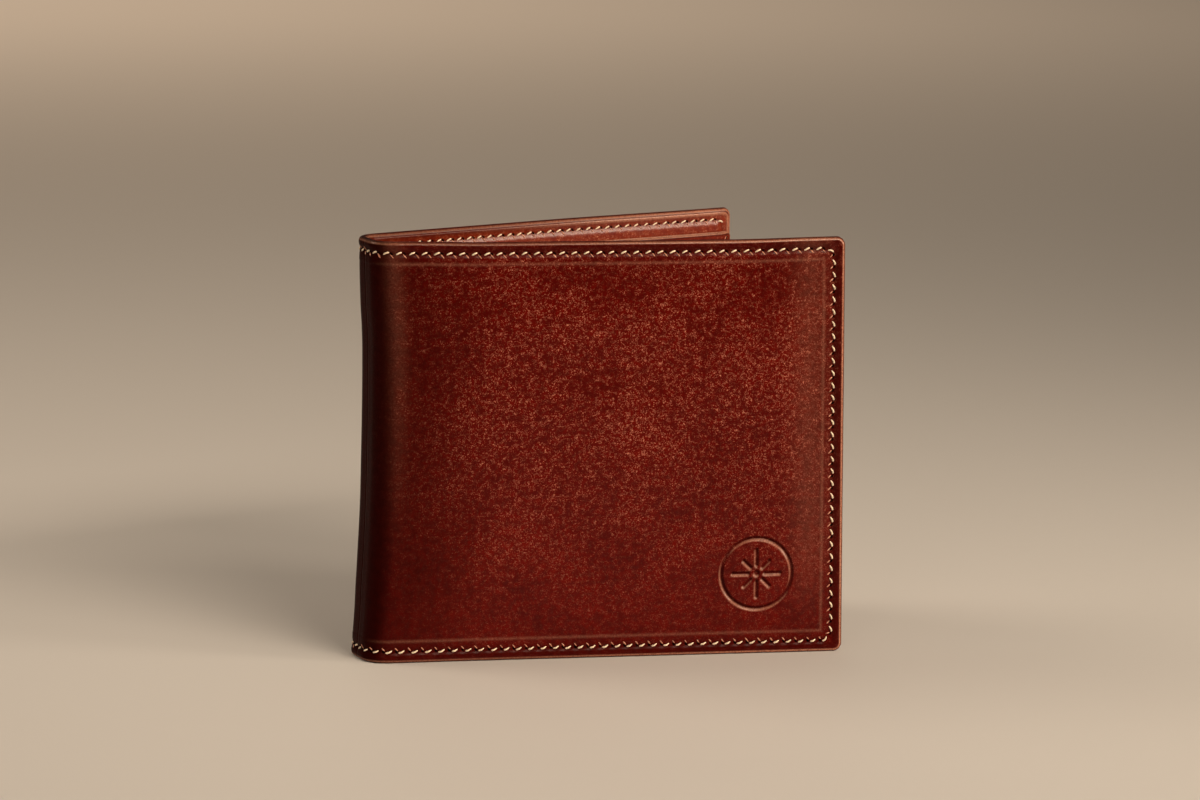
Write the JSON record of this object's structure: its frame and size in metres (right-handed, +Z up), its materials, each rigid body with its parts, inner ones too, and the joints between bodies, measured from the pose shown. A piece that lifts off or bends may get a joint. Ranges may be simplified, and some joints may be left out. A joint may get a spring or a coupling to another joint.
{
  "type": "bifold wallet",
  "caption": "Leather billfold standing partly open: stitched cover with a flat spine, lined note compartment, divider and stepped card pockets on both leaves.",
  "frame": {"origin": "middle of the spine's foot, at the cover leather's middle layer, on the surface the wallet stands on", "axes": "+X from the spine into the opening, halfway between the leaves; +Y from the front leaf to the rear leaf; +Z up along the creases"},
  "size_m": [0.104, 0.0638, 0.095],
  "materials": {
    "cover_leather": "glazed, fine mottled grain, red-brown",
    "spine_leather": "glazed, fine mottled grain, darker along the fold",
    "lining_leather": "satin, fine grain",
    "pocket_leather": "satin, fine grain",
    "board": "matt bonded leather fibre",
    "thread": "waxed cream thread"
  },
  "bodies": {
    "spine": {"spine_cover": "spine_leather", "spine_lining": "lining_leather", "fold_gusset": "pocket_leather", "spine_thread": "thread"},
    "front_leaf": {"front_cover": "cover_leather", "front_board": "board", "front_lining": "lining_leather", "front_note_divider": "pocket_leather", "front_pocket_panel": "pocket_leather", "front_card_pocket_1": "pocket_leather", "front_card_pocket_2": "pocket_leather", "front_card_pocket_3": "pocket_leather", "front_needle_thread": "thread", "front_bobbin_thread": "thread", "front_pocket_thread": "thread"},
    "rear_leaf": {"rear_cover": "cover_leather", "rear_board": "board", "rear_lining": "lining_leather", "rear_note_divider": "pocket_leather", "rear_pocket_panel": "pocket_leather", "rear_card_pocket_1": "pocket_leather", "rear_card_pocket_2": "pocket_leather", "rear_card_pocket_3": "pocket_leather", "rear_needle_thread": "thread", "rear_bobbin_thread": "thread", "rear_pocket_thread": "thread"}
  },
  "joints": [
    {"name": "front_crease", "type": "hinge", "parent": "spine", "child": "front_leaf", "pos_m": [0, -0.00675, 0], "axis": [0, 0, -1], "range_deg": [-13.4, 76.6]},
    {"name": "rear_crease", "type": "hinge", "parent": "spine", "child": "rear_leaf", "pos_m": [0, 0.00675, 0], "axis": [0, 0, 1], "range_deg": [-13.4, 76.6]}
  ]
}
